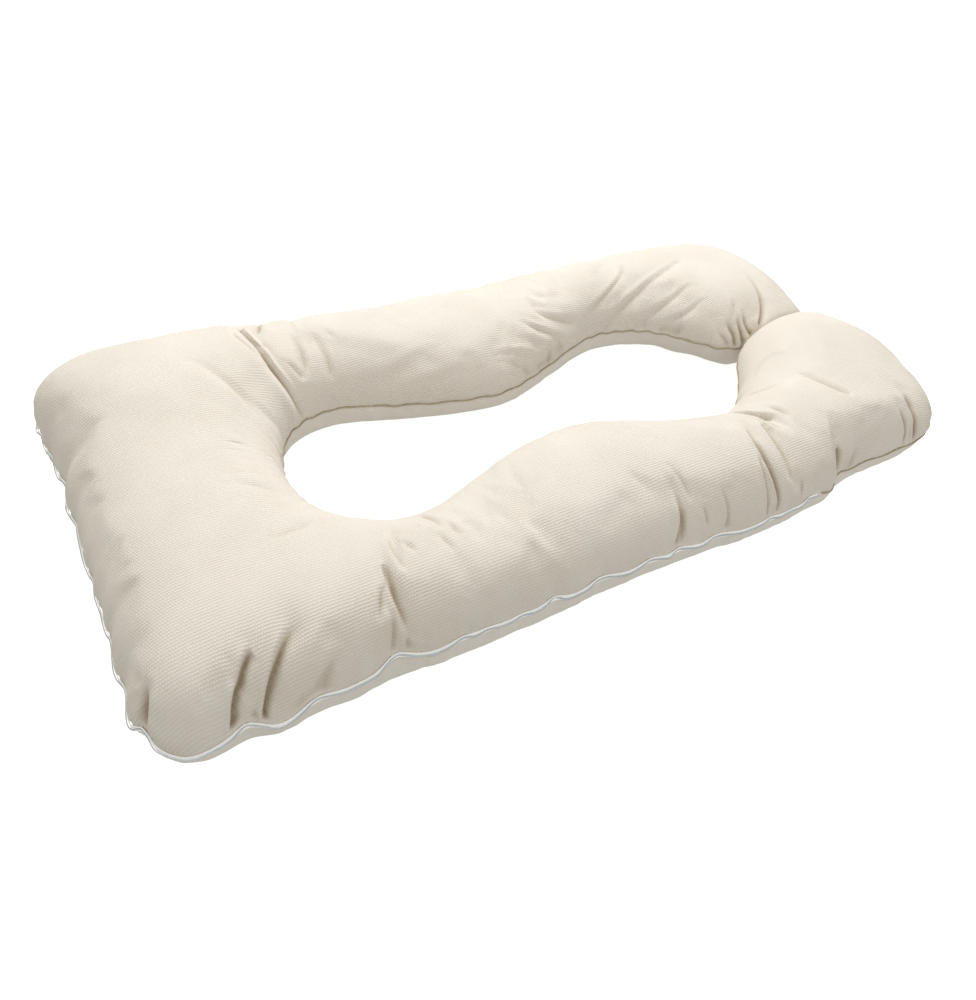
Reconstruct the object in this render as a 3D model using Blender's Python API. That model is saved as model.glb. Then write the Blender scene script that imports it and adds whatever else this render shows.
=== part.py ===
"""A U-shaped pregnancy pillow lying on a floor: one filled cushion with a coil zip in its outer seam.

Metres, +Z up. The origin is on the floor under the middle of the pillow. +X runs from the head roll to the
tips of the two arms, and the nearer arm lies towards -Y.
"""

from collections import namedtuple
from math import cos, pi, sin

import bmesh
import bpy
import numpy as np
from mathutils import Matrix

# Overall sizes of the sewn outline
LENGTH = 1.500
WIDTH = 0.770
HEAD_RADIUS = 0.074
FOOT_RADIUS = 0.135
TIP_RADIUS = 0.045
TIP_GAP = 0.003
TIP_SLANT = 0.05

# Heights of the inner and outer seams, and how deep they are drawn in
SEAM_HEIGHT = 0.056
ZIP_HEIGHT = 0.057
SEAM_DRAW = 0.004
SCALLOP = 0.0015
SCALLOP_PITCH = 0.071

# Zip set in the outer seam, its start and end measured along the seam from the tips
ZIP_NEAR_START = 0.735
ZIP_FAR_END = 1.858
TAPE_WIDTH = 0.0095
TAPE_THICK = 0.0012
COIL_WIDTH = 0.0045
COIL_THICK = 0.0016
CLEARANCE = 0.0005

# Grid of the two panels
STATIONS = 230
CAP_STATIONS = 6
TOP_ROWS = 20
BOTTOM_ROWS = 10

# Roundness of the section: exponents of its curves, the share that lies flat,
# how far the lower panel swells out below the seam, and the rounding of a tip
CROWN_POWER = 2.35
FOOT_POWER = 2.05
TIP_POWER = 2.8
FLAT_SHARE = 0.58
BELLY = 0.009
TIP_ROUNDING = 0.080

# One row for each section of an arm, from its tip round to the middle of the head roll. "run" is the
# distance along the outer seam from the tip, the next three place the inner seam, the crowns are heights
# of the top, and the draws are how far the outer seam is pulled in from the plain outline.
Section = namedtuple("Section", "run inner_x near_y far_y near_crown far_crown near_draw far_draw")
SECTIONS = (
    Section(0.000, 1.300, -0.0205, 0.0235, 0.127, 0.100, 0.000, 0.004),
    Section(0.080, 1.258, 0.008, 0.038, 0.146, 0.119, -0.012, 0.000),
    Section(0.180, 1.218, 0.054, 0.080, 0.162, 0.146, -0.024, -0.008),
    Section(0.280, 1.182, 0.094, 0.124, 0.157, 0.151, -0.003, -0.006),
    Section(0.390, 1.138, 0.130, 0.158, 0.152, 0.150, 0.013, 0.006),
    Section(0.500, 1.085, 0.156, 0.177, 0.156, 0.148, 0.026, 0.013),
    Section(0.620, 1.025, 0.172, 0.181, 0.156, 0.150, 0.028, 0.008),
    Section(0.740, 0.950, 0.155, 0.155, 0.158, 0.151, 0.002, 0.004),
    Section(0.860, 0.860, 0.122, 0.116, 0.162, 0.154, -0.008, 0.004),
    Section(0.990, 0.760, 0.084, 0.088, 0.166, 0.156, -0.002, 0.004),
    Section(1.120, 0.650, 0.100, 0.106, 0.164, 0.156, 0.002, 0.002),
    Section(1.240, 0.550, 0.134, 0.139, 0.158, 0.157, 0.002, 0.002),
    Section(1.340, 0.480, 0.160, 0.165, 0.156, 0.158, 0.002, 0.000),
    Section(1.450, 0.420, 0.162, 0.164, 0.158, 0.162, 0.004, -0.006),
    Section(1.570, 0.374, 0.134, 0.141, 0.160, 0.178, 0.003, -0.012),
    Section(1.690, 0.348, 0.102, 0.108, 0.162, 0.186, -0.002, -0.014),
    Section(1.800, 0.334, 0.074, 0.076, 0.164, 0.188, 0.000, -0.014),
    Section(1.900, 0.326, 0.050, 0.050, 0.166, 0.182, 0.000, -0.010),
    Section(2.030, 0.320, 0.024, 0.024, 0.168, 0.172, 0.000, 0.000),
)

# One row for each place where the stitching gathers the outer seam: its run from the nearer tip, how far the
# seam rises and is drawn in there (below zero it sags and is pushed out by the filling), and how far this
# reaches along the seam towards the head roll and towards the tip.
Pinch = namedtuple("Pinch", "run rise draw headward tipward")
PINCHES = (
    Pinch(0.450, 0.010, 0.001, 0.045, 0.060),
    Pinch(0.668, 0.008, 0.005, 0.012, 0.025),
    Pinch(0.704, -0.005, -0.008, 0.018, 0.013),
    Pinch(0.763, 0.006, 0.004, 0.013, 0.015),
    Pinch(0.859, 0.006, 0.004, 0.014, 0.015),
    Pinch(0.975, 0.007, 0.005, 0.018, 0.030),
    Pinch(1.047, 0.007, 0.006, 0.013, 0.020),
    Pinch(1.095, 0.006, 0.005, 0.025, 0.020),
    Pinch(1.190, 0.009, 0.008, 0.018, 0.025),
    Pinch(1.276, 0.009, 0.008, 0.013, 0.018),
    Pinch(1.333, 0.004, 0.003, 0.013, 0.015),
    Pinch(1.387, 0.004, 0.002, 0.013, 0.015),
    Pinch(1.431, 0.004, 0.002, 0.015, 0.015),
    Pinch(1.530, 0.013, 0.013, 0.020, 0.026),
    Pinch(1.641, 0.006, 0.005, 0.014, 0.017),
    Pinch(1.690, -0.008, -0.006, 0.015, 0.015),
    Pinch(1.738, 0.011, 0.009, 0.015, 0.015),
    Pinch(1.800, -0.007, -0.005, 0.032, 0.026),
    Pinch(1.868, 0.010, 0.009, 0.014, 0.014),
    Pinch(1.906, -0.002, -0.006, 0.016, 0.015),
    Pinch(1.941, 0.005, 0.004, 0.015, 0.018),
    Pinch(1.983, -0.003, -0.003, 0.016, 0.016),
    Pinch(2.023, 0.006, 0.004, 0.014, 0.017),
    Pinch(2.089, 0.004, 0.003, 0.014, 0.015),
    Pinch(2.142, 0.004, 0.003, 0.014, 0.015),
    Pinch(2.270, 0.004, 0.003, 0.015, 0.017),
    Pinch(2.315, -0.003, -0.004, 0.020, 0.020),
    Pinch(2.362, 0.009, 0.007, 0.015, 0.018),
    Pinch(2.438, 0.005, 0.003, 0.014, 0.015),
    Pinch(2.498, 0.006, 0.004, 0.015, 0.015),
    Pinch(2.535, -0.003, -0.004, 0.017, 0.017),
)

# One row for each main fold of the upper panel: how deep it sinks (a ridge stands up, so it is negative),
# its half-width, and the plan positions of its start, middle and end, with x from the head roll's seam.
Fold = namedtuple("Fold", "depth width start middle end")
FOLDS = (
    # Where the head roll turns into the farther arm
    Fold(0.017, 0.014, (0.352, 0.321), (0.370, 0.205), (0.405, 0.160)),
    Fold(-0.006, 0.016, (0.326, 0.320), (0.342, 0.205), (0.374, 0.158)),
    Fold(0.005, 0.013, (0.250, 0.217), (0.288, 0.160), (0.330, 0.110)),
    Fold(0.006, 0.011, (0.428, 0.266), (0.424, 0.222), (0.412, 0.192)),
    Fold(0.004, 0.011, (0.461, 0.259), (0.465, 0.210), (0.461, 0.188)),
    # Along the farther arm and round its bend
    Fold(0.006, 0.015, (0.510, 0.160), (0.590, 0.154), (0.670, 0.170)),
    Fold(0.007, 0.013, (0.767, 0.123), (0.794, 0.110), (0.860, 0.125)),
    Fold(0.008, 0.013, (0.847, 0.166), (0.877, 0.156), (0.930, 0.150)),
    Fold(0.008, 0.014, (0.888, 0.205), (0.907, 0.182), (0.960, 0.175)),
    Fold(-0.004, 0.012, (0.877, 0.222), (0.934, 0.203), (0.983, 0.192)),
    Fold(0.008, 0.014, (1.081, 0.190), (1.170, 0.208), (1.272, 0.237)),
    Fold(0.007, 0.012, (1.139, 0.161), (1.190, 0.160), (1.247, 0.162)),
    Fold(0.006, 0.012, (1.175, 0.139), (1.205, 0.125), (1.249, 0.119)),
    # Fanning out from where the tips meet
    Fold(0.009, 0.011, (1.283, 0.030), (1.280, 0.045), (1.268, 0.068)),
    Fold(0.012, 0.011, (1.322, 0.024), (1.314, 0.038), (1.318, 0.068)),
    Fold(0.009, 0.012, (1.345, 0.035), (1.378, 0.075), (1.390, 0.150)),
    # Along the nearer arm, from its tip to the head roll
    Fold(0.006, 0.012, (1.233, -0.191), (1.243, -0.223), (1.252, -0.262)),
    Fold(0.010, 0.012, (1.047, -0.200), (1.062, -0.235), (1.077, -0.267)),
    Fold(0.006, 0.011, (1.352, -0.360), (1.346, -0.338), (1.342, -0.322)),
    Fold(0.011, 0.012, (1.378, -0.362), (1.375, -0.330), (1.382, -0.295)),
    Fold(0.015, 0.013, (1.165, -0.375), (1.171, -0.352), (1.178, -0.335)),
    Fold(0.006, 0.010, (1.036, -0.375), (1.041, -0.320), (1.047, -0.277)),
    Fold(0.009, 0.010, (1.004, -0.390), (0.998, -0.335), (1.015, -0.273)),
    Fold(0.007, 0.010, (0.982, -0.390), (0.985, -0.350), (0.996, -0.326)),
    Fold(0.007, 0.011, (0.798, -0.385), (0.812, -0.358), (0.814, -0.318)),
    Fold(0.007, 0.010, (0.347, -0.362), (0.345, -0.325), (0.348, -0.292)),
    Fold(0.006, 0.010, (0.313, -0.385), (0.328, -0.362), (0.338, -0.340)),
    Fold(0.013, 0.012, (0.144, -0.390), (0.172, -0.362), (0.211, -0.321)),
    Fold(0.010, 0.011, (0.103, -0.388), (0.128, -0.364), (0.153, -0.333)),
    # Dimples in the end of the head roll
    Fold(0.012, 0.015, (0.000, 0.158), (0.018, 0.152), (0.042, 0.142)),
    Fold(0.004, 0.011, (0.000, 0.067), (0.014, 0.066), (0.030, 0.062)),
    Fold(0.004, 0.011, (0.000, -0.114), (0.014, -0.113), (0.030, -0.108)),
    Fold(0.006, 0.012, (0.000, -0.180), (0.015, -0.178), (0.034, -0.171)),
    Fold(0.006, 0.012, (0.000, -0.262), (0.015, -0.259), (0.034, -0.252)),
    Fold(0.009, 0.012, (0.030, -0.312), (0.018, -0.330), (0.010, -0.340)),
)
FOLD_STEPS = 10


def outer_outline():
    """Points along half the outer seam, from an arm's tip to the middle of the head roll, and their runs."""
    half = WIDTH / 2
    foot = LENGTH - FOOT_RADIUS
    turns = (
        (LENGTH - TIP_RADIUS, TIP_RADIUS, TIP_RADIUS, -0.5 * pi),
        (foot, half - FOOT_RADIUS, FOOT_RADIUS, 0.0),
        (HEAD_RADIUS, half - HEAD_RADIUS, HEAD_RADIUS, 0.5 * pi),
    )
    points = []
    for x, y, radius, start in turns:
        for step in range(25):
            angle = start + 0.5 * pi * step / 24
            points.append((x + radius * cos(angle), y + radius * sin(angle)))
    points = np.array(points + [(0.0, 0.0)])
    steps = np.hypot(*np.diff(points, axis=0).T)
    return points, np.concatenate(((0.0,), np.cumsum(steps)))


OUTLINE, RUNS = outer_outline()
FOOT_TURN, HEAD_TURN = RUNS[37], RUNS[62]
HALF_RUN = RUNS[-1]
WHOLE_RUN = 2 * HALF_RUN


def smooth_curve(knots, values, at):
    """A smooth curve through the values at the knots, read at the given places."""
    slopes = np.gradient(values, knots)
    i = np.clip(np.searchsorted(knots, at) - 1, 0, len(knots) - 2)
    step = knots[i + 1] - knots[i]
    t = (at - knots[i]) / step
    first = (2 * t**3 - 3 * t**2 + 1) * values[i] + (t**3 - 2 * t**2 + t) * step * slopes[i]
    return first + (3 * t**2 - 2 * t**3) * values[i + 1] + (t**3 - t**2) * step * slopes[i + 1]


def section_lines():
    """The section table laid out along the whole seam, from the nearer tip to the farther one."""
    middle = Section(HALF_RUN, 0.318, 0.0, 0.0, 0.168, 0.168, 0.0, 0.0)
    near = SECTIONS + (middle,)
    far = SECTIONS[::-1]
    knots = np.array([row.run for row in near] + [WHOLE_RUN - row.run for row in far])
    inner_x = np.array([row.inner_x for row in near + far])
    inner_y = np.array([-row.near_y for row in near] + [row.far_y for row in far])
    crown = np.array([row.near_crown for row in near] + [row.far_crown for row in far])
    draw = np.array([row.near_draw for row in near] + [row.far_draw for row in far])
    return knots, inner_x, inner_y, crown, draw


KNOTS, INNER_X, INNER_Y, CROWN, DRAW = section_lines()


def outer_point(run):
    """Plan position of the outer seam at a distance from the nearer tip, and its outward direction."""
    def place(at):
        side = -1.0 if at < HALF_RUN else 1.0
        half = min(at, WHOLE_RUN - at)
        apart = 0.5 * TIP_GAP * max(0.0, 1.0 - half / 0.5)
        y = np.interp(half, RUNS, OUTLINE[:, 1]) + apart
        return np.array((np.interp(half, RUNS, OUTLINE[:, 0]), side * y))
    ahead, behind = place(min(run + 0.004, WHOLE_RUN)), place(max(run - 0.004, 0.0))
    tangent = (ahead - behind) / np.linalg.norm(ahead - behind)
    outward = np.array((-tangent[1], tangent[0]))
    return place(run) - outward * smooth_curve(KNOTS, DRAW, run), outward


def slanted(point):
    """The tips meet along a line that slants a little, so the plan is sheared there."""
    x, y = point
    reach = max(0.0, x - 1.285) * max(0.0, 1.0 - abs(y) / 0.16) ** 2
    return np.array((x, y + TIP_SLANT * reach))


def seam_wave(run):
    """How far the sewn seam swings up and out as the stitching gathers it."""
    phase = 2 * pi * run / SCALLOP_PITCH + 1.3 * sin(5.1 * run)
    return SCALLOP * sin(phase), 0.6 * SCALLOP * cos(0.7 * phase)


def outer_seam(run):
    """Height of the outer seam at a run along it, and how far its gathers draw it in."""
    rise, draw = ZIP_HEIGHT, 0.0
    for pinch in PINCHES:
        off = run - pinch.run
        pull = np.exp(-((off / (pinch.headward if off > 0 else pinch.tipward)) ** 2))
        rise += pinch.rise * pull
        draw += pinch.draw * pull
    wave = seam_wave(run)
    return rise + wave[0], draw + wave[1]


def seam_height(run, share):
    """Height of the level from which a section rises: the outer seam at one side, the inner at the other."""
    inner = SEAM_HEIGHT + seam_wave(run)[0]
    return 0.5 * (1 - share) * outer_seam(run)[0] + 0.5 * (1 + share) * inner


def fold_line(fold):
    """Points along a fold: a smooth arc through its start, middle and end."""
    start, middle, end = (np.array(point) for point in (fold.start, fold.middle, fold.end))
    pull = 2 * middle - 0.5 * (start + end)
    t = np.linspace(0.0, 1.0, FOLD_STEPS + 1)[:, None]
    return (1 - t) ** 2 * start + 2 * t * (1 - t) * pull + t**2 * end


def sink_of_folds(x, y):
    """How far the upper panel sinks at a plan position under all the folds together."""
    spot, sink = np.array((x, y)), 0.0
    for fold, line in zip(FOLDS, FOLD_LINES):
        if abs(x - fold.middle[0]) + abs(y - fold.middle[1]) > 0.30:
            continue
        leg = np.diff(line, axis=0)
        along = np.clip(((spot - line[:-1]) * leg).sum(1) / (leg * leg).sum(1), 0.0, 1.0)
        away = np.hypot(*(line[:-1] + along[:, None] * leg - spot).T).min()
        sink += fold.depth * np.exp(-((away / fold.width) ** 2))
    return sink


FOLD_LINES = [fold_line(fold) for fold in FOLDS]


def station_runs():
    """Stations along the seam: close together round the tips and at the folds, and wider between them."""
    fine = np.linspace(TIP_ROUNDING, WHOLE_RUN - TIP_ROUNDING, 600)
    middles = np.array([plan_point(run, 0.0) for run in fine])
    density = np.where((fine > PINCHES[0].run) & (fine < PINCHES[-1].run), 1.5, 0.9)
    for fold in FOLDS:
        nearest = fine[np.argmin(np.hypot(*(middles - fold.middle).T))]
        density += 0.7 * np.exp(-(((fine - nearest) / 0.04) ** 2))
    for pinch in PINCHES:
        density += 60 * abs(pinch.rise) * np.exp(-(((fine - pinch.run) / 0.03) ** 2))
    for turn in (FOOT_TURN, HEAD_TURN, WHOLE_RUN - HEAD_TURN, WHOLE_RUN - FOOT_TURN):
        density += 1.0 * np.exp(-(((fine - turn) / 0.07) ** 2))
    share = np.concatenate(((0.0,), np.cumsum(np.minimum(density[1:], 2.6))))
    spread = np.interp(np.linspace(0.0, share[-1], STATIONS - 2 * CAP_STATIONS + 1), share, fine)
    caps = [TIP_ROUNDING * (1 - cos(0.5 * pi * step / CAP_STATIONS)) for step in range(CAP_STATIONS)]
    return caps + list(spread) + [WHOLE_RUN - run for run in reversed(caps)]


def top_shares():
    """Places of the rows across the upper panel, from -1 at the outer seam to 1 at the inner one."""
    return [-cos(pi * row / TOP_ROWS) for row in range(TOP_ROWS + 1)]


def bottom_shares():
    """Places of the rows across the lower panel, wide where it lies flat."""
    edge = [1.0 - (1.0 - FLAT_SHARE) * (step / 4) ** 1.5 for step in range(5)]
    return [-share for share in edge] + [0.0] + edge[::-1]


def plan_point(run, share, swell=0.0):
    """Plan position of a point at a share across the section at a run along the seam, swelled a little."""
    outer, outward = outer_point(run)
    inner = np.array((smooth_curve(KNOTS, INNER_X, run), smooth_curve(KNOTS, INNER_Y, run)))
    across = (outer - inner) / np.linalg.norm(outer - inner)
    gather = outer_seam(run)[1] if share < 0 else seam_wave(run)[1]
    drawn = max(0.0, abs(share) - 0.985) / 0.015 * SEAM_DRAW
    drawn += max(0.0, (abs(share) - 0.70) / 0.30) ** 1.6 * gather
    middle = 0.5 * (1 - share) * outer + 0.5 * (1 + share) * inner
    return slanted(middle + np.sign(share) * across * (drawn - swell))


def top_point(run, share):
    """A point of the upper panel."""
    reach = min(run, WHOLE_RUN - run)
    end = max(0.0, 1.0 - reach / TIP_ROUNDING)
    crown = smooth_curve(KNOTS, CROWN, run)
    power = FOOT_POWER + (CROWN_POWER - FOOT_POWER) * min(1.0, reach / 0.5)
    rise = (1 - abs(share) ** power) ** (1 / power) * (1 - end**TIP_POWER) ** (1 / TIP_POWER)
    x, y = plan_point(run, share)
    low = seam_height(run, share)
    core = np.array((*plan_point(run, 0.0), 0.07))
    point = np.array((x, y, low + (crown - low) * rise))
    inward = (core - point) / max(0.02, np.linalg.norm(core - point))
    return point + inward * sink_of_folds(x, y) * min(1.0, rise / 0.35)


def bottom_point(run, share):
    """A point of the lower panel, which lies flat on the floor over its middle."""
    reach = min(run, WHOLE_RUN - run)
    end = max(0.0, 1.0 - reach / TIP_ROUNDING)
    side = max(0.0, abs(share) - FLAT_SHARE) / (1 - FLAT_SHARE)
    edge = min(1.0, (side**3 + end**3) ** (1 / 3))
    fullness = (reach - 0.16) / 0.10 if share > 0 else (reach - 0.48) / 0.18
    fullness = max(-1.2, min(1.0, fullness))
    x, y = plan_point(run, share, BELLY * fullness * 6.75 * side**2 * (1 - side) * (1 - end))
    return x, y, seam_height(run, share) * (1 - (1 - edge**2) ** 0.5)


def zip_swing(run):
    """1 along the zip, falling to 0 just past its two ends."""
    inside = min(run - ZIP_NEAR_START, WHOLE_RUN - ZIP_FAR_END - run)
    return min(1.0, max(0.0, inside / 0.012 + 1.0))


def seam_edge(run, side):
    """A point on the outer seam: its two edges stand apart where the zip is set in, and meet elsewhere."""
    x, y = plan_point(run, -1.0)
    return x, y, outer_seam(run)[0] + side * 0.5 * (TAPE_WIDTH + 0.0015) * zip_swing(run)


def add_part(name, verts, faces, colour, roughness):
    """One closed, smooth-shaded object with its own material."""
    mesh = bpy.data.meshes.new(name)
    mesh.from_pydata(verts, [], faces)
    shape = bmesh.new()
    shape.from_mesh(mesh)
    bmesh.ops.remove_doubles(shape, verts=shape.verts, dist=1e-6)
    bmesh.ops.triangulate(shape, faces=shape.faces, quad_method="BEAUTY", ngon_method="BEAUTY")
    bmesh.ops.recalc_face_normals(shape, faces=shape.faces)
    shape.to_mesh(mesh)
    shape.free()
    mesh.shade_smooth()
    material = bpy.data.materials.new(name)
    material.use_nodes = True
    surface = material.node_tree.nodes["Principled BSDF"]
    surface.inputs["Base Color"].default_value = (*colour, 1.0)
    surface.inputs["Roughness"].default_value = roughness
    mesh.materials.append(material)
    thing = bpy.data.objects.new(name, mesh)
    bpy.context.scene.collection.objects.link(thing)
    return thing


def build_pillow():
    """The cushion: a fine grid over the upper panel, and one half as fine under the lower."""
    runs, shares, low_shares = station_runs(), top_shares(), bottom_shares()
    verts, faces = [], []

    def add(point):
        verts.append(tuple(point))
        return len(verts) - 1

    upper = []
    for run in runs:
        row = [add(seam_edge(run, 1.0))]
        row += [add(top_point(run, share)) for share in shares[1:]]
        upper.append(row)
    seam = [add(seam_edge(run, -1.0)) if zip_swing(run) > 0 else row[0] for run, row in zip(runs, upper)]
    lower = []
    for index in range(0, len(runs), 2):
        if index in (0, len(runs) - 1):
            lower.append(None)
            continue
        row = [seam[index]] + [add(bottom_point(runs[index], share)) for share in low_shares[1:-1]]
        lower.append(row + [upper[index][-1]])
    for i in range(len(runs) - 1):
        for j in range(TOP_ROWS):
            faces.append((upper[i][j], upper[i + 1][j], upper[i + 1][j + 1], upper[i][j + 1]))
        band = [upper[i][0], seam[i], seam[i + 1], upper[i + 1][0]]
        corners = list(dict.fromkeys(band))
        if len(corners) > 2:
            faces.append(tuple(corners))
    for k in range(len(lower) - 1):
        i = 2 * k
        here, there = lower[k], lower[k + 1]
        if here is None or there is None:
            end, inner_row = (upper[i], there) if here is None else (upper[i + 2], here)
            for m in range(BOTTOM_ROWS):
                span = end[2 * m:2 * m + 3]
                corners = span + [inner_row[m + 1], inner_row[m]]
                if m == 0:
                    corners.append(seam[i + 1])
                if m == BOTTOM_ROWS - 1:
                    corners.insert(3, upper[i + 1][-1])
                faces.append(tuple(corners))
            continue
        for m in range(BOTTOM_ROWS):
            corners = [here[m], here[m + 1], there[m + 1], there[m]]
            if m == 0:
                corners.append(seam[i + 1])
            if m == BOTTOM_ROWS - 1:
                corners.insert(2, upper[i + 1][-1])
            faces.append(tuple(corners))
    return add_part("pillow", verts, faces, (0.72, 0.64, 0.53), 0.95)


def strip_along_seam(name, width, near_face, far_face, colour, roughness):
    """A flat strip that stands on the outer seam, between two distances out from it."""
    first, last = ZIP_NEAR_START, WHOLE_RUN - ZIP_FAR_END
    runs = [run for run in station_runs() if first <= run <= last]
    verts, faces = [], []
    for run in runs:
        x, y = plan_point(run, -1.0)
        outward = outer_point(run)[1]
        height = outer_seam(run)[0]
        for out, up in ((near_face, -1), (far_face, -1), (far_face, 1), (near_face, 1)):
            verts.append((x + out * outward[0], y + out * outward[1], height + 0.5 * up * width))
    for i in range(len(runs) - 1):
        for j in range(4):
            a, b = 4 * i + j, 4 * i + (j + 1) % 4
            faces.append((a, b, b + 4, a + 4))
    end = 4 * (len(runs) - 1)
    faces += [(0, 1, 2, 3), (end, end + 1, end + 2, end + 3)]
    return add_part(name, verts, faces, colour, roughness)


def main():
    for thing in list(bpy.data.objects):
        bpy.data.objects.remove(thing)
    tape_out = CLEARANCE + TAPE_THICK
    parts = (
        build_pillow(),
        strip_along_seam("zip_tape", TAPE_WIDTH, CLEARANCE, tape_out, (0.78, 0.82, 0.82), 0.7),
        strip_along_seam("zip_coil", COIL_WIDTH, tape_out + CLEARANCE, tape_out + CLEARANCE + COIL_THICK,
                         (0.86, 0.88, 0.88), 0.45),
    )
    for part in parts:
        part.data.transform(Matrix.Translation((-0.5 * LENGTH, 0.0, 0.0)))


main()
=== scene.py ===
"""A U-shaped pregnancy pillow in cream brushed plush, lying on a pale studio floor."""

from collections import namedtuple

import bmesh
import bpy
import numpy as np
from mathutils import Matrix, Vector
from mathutils.kdtree import KDTree


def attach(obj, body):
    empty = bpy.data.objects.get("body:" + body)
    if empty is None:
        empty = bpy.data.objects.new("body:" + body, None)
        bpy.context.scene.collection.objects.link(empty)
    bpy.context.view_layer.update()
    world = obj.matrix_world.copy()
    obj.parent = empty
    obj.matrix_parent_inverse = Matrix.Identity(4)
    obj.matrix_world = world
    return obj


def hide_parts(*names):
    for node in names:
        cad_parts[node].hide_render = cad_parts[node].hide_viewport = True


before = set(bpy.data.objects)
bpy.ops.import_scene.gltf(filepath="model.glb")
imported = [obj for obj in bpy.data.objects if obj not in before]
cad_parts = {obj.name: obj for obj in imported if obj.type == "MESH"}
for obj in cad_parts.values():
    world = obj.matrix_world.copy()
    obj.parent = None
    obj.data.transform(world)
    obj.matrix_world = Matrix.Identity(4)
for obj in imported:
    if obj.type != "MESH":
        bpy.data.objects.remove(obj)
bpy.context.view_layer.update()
scene = bpy.context.scene

# Camera
# It stands before the near side of the head roll and looks down along the pillow, tilted a little.

CAMERA_PLACE = (-0.6993, -0.9649, 0.9964)
LOOK_DOWN, TURN, ROLL = np.radians((43.79, 33.68, 6.0))
FOCAL_LENGTH = 30.08
SENSOR_HEIGHT = 36.0

camera_data = bpy.data.cameras.new("camera")
camera_data.sensor_fit = "VERTICAL"
camera_data.sensor_height = SENSOR_HEIGHT
camera_data.lens = FOCAL_LENGTH
camera = bpy.data.objects.new("camera", camera_data)
scene.collection.objects.link(camera)
scene.camera = camera
scene.view_settings.view_transform = "Standard"
aim = Matrix.Rotation(-TURN, 4, "Z") @ Matrix.Rotation(0.5 * np.pi - LOOK_DOWN, 4, "X")
camera.matrix_world = Matrix.Translation(CAMERA_PLACE) @ aim @ Matrix.Rotation(ROLL, 4, "Z")

# Filled cushion
# Two panels of brushed polyester plush, sewn face to face along one plain seam, turned out and stuffed with
# fibre. The seam gathers the cloth, so folds run in from it, deepest where the outline turns.

# The plain seam's height, how far above or below the seam's level its edges lie, and half the band that the zip fills
SEAM_HEIGHT = 0.058
SEAM_REACH = 0.0102
ZIP_BAND = 0.0055

# How near in plan a point is to the zip's line to count as on it, and to count as by it
ON_ZIP = 0.004
BY_ZIP = 0.020

# The spacing of the points along the seam, and the most of an edge's length that it may climb and still be sewn
SEAM_STEP = 0.002
SEAM_SLOPE = 0.8

# Corners of a solid that are this near are merged, two triangles join to a quad up to this angle off flat or square,
# and a smooth route is read at this many places between two of its points before it is spaced out evenly.
MERGE_DISTANCE = 2e-5
JOIN_ANGLE = 1.2
ROUTE_READINGS = 12


def linear(hex_colour):
    """An sRGB hex colour as linear red, green, blue and alpha."""
    parts = [int(hex_colour[i:i + 2], 16) / 255 for i in (0, 2, 4)]
    return tuple(c / 12.92 if c <= 0.04045 else ((c + 0.055) / 1.055) ** 2.4 for c in parts) + (1.0,)


def own_copy(node, name):
    """A copy of a solid's mesh as a piece of its own, merged and with its quads restored."""
    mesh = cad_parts[node].data.copy()
    mesh.name = name
    mesh.materials.clear()
    shape = bmesh.new()
    shape.from_mesh(mesh)
    bmesh.ops.remove_doubles(shape, verts=shape.verts, dist=MERGE_DISTANCE)
    bmesh.ops.join_triangles(
        shape, faces=shape.faces, angle_face_threshold=JOIN_ANGLE, angle_shape_threshold=JOIN_ANGLE
    )
    shape.to_mesh(mesh)
    shape.free()
    mesh.shade_smooth()
    piece = bpy.data.objects.new(name, mesh)
    scene.collection.objects.link(piece)
    return piece


def places(piece):
    """The positions of a piece's vertices as one array."""
    spots = np.zeros(len(piece.data.vertices) * 3)
    piece.data.vertices.foreach_get("co", spots)
    return spots.reshape(-1, 3)


def put_back(piece, spots):
    """Writes an array of positions back to a piece's vertices."""
    piece.data.vertices.foreach_set("co", spots.ravel())
    piece.data.update()


def settle(piece):
    """Replaces a piece's mesh with what its modifiers make of it."""
    graph = bpy.context.evaluated_depsgraph_get()
    made = bpy.data.meshes.new_from_object(piece.evaluated_get(graph), depsgraph=graph)
    piece.modifiers.clear()
    old = piece.data
    piece.data = made
    bpy.data.meshes.remove(old)


def smoother(piece, levels):
    """One or more rounds of subdivision, applied."""
    rounds = piece.modifiers.new("rounds", "SUBSURF")
    rounds.levels = levels
    rounds.render_levels = levels
    settle(piece)


def ring_middles(node):
    """The middles of the rings of four corners along a zip strip, from the far corner round to the near arm."""
    guide = own_copy(node, "guide")
    corners = places(guide)
    bpy.data.objects.remove(guide)
    corners = corners[np.argsort(corners[:, 0] - corners[:, 1])]
    return corners.reshape(-1, 4, 3).mean(axis=1)


def smooth_route(points, spacing):
    """A smooth curve through the points, read at an even spacing."""
    route = []
    for i in range(len(points) - 1):
        a, b = points[max(i - 1, 0)], points[i]
        c, d = points[i + 1], points[min(i + 2, len(points) - 1)]
        for t in np.linspace(0.0, 1.0, ROUTE_READINGS, endpoint=False):
            bend = (2 * a - 5 * b + 4 * c - d) * t**2 + (3 * b - a - 3 * c + d) * t**3
            route.append(0.5 * (2 * b + (c - a) * t + bend))
    route = np.array(route + [points[-1]])
    run = np.concatenate(((0.0,), np.cumsum(np.linalg.norm(np.diff(route, axis=0), axis=1))))
    even = np.arange(0.5 * spacing, run[-1], spacing)
    return np.column_stack([np.interp(even, run, route[:, axis]) for axis in range(3)])


def plan_tree(points):
    """A search tree over the plan positions of points."""
    tree = KDTree(len(points))
    for index, (x, y, _) in enumerate(points):
        tree.insert((x, y, 0.0), index)
    tree.balance()
    return tree


def nearest_in_plan(tree, spots):
    """For each spot, which point of a tree is nearest in plan, and how far off it is."""
    found = np.array([tree.find((x, y, 0.0))[1:] for x, y, _ in spots])
    return found[:, 0].astype(int), found[:, 1]


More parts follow.
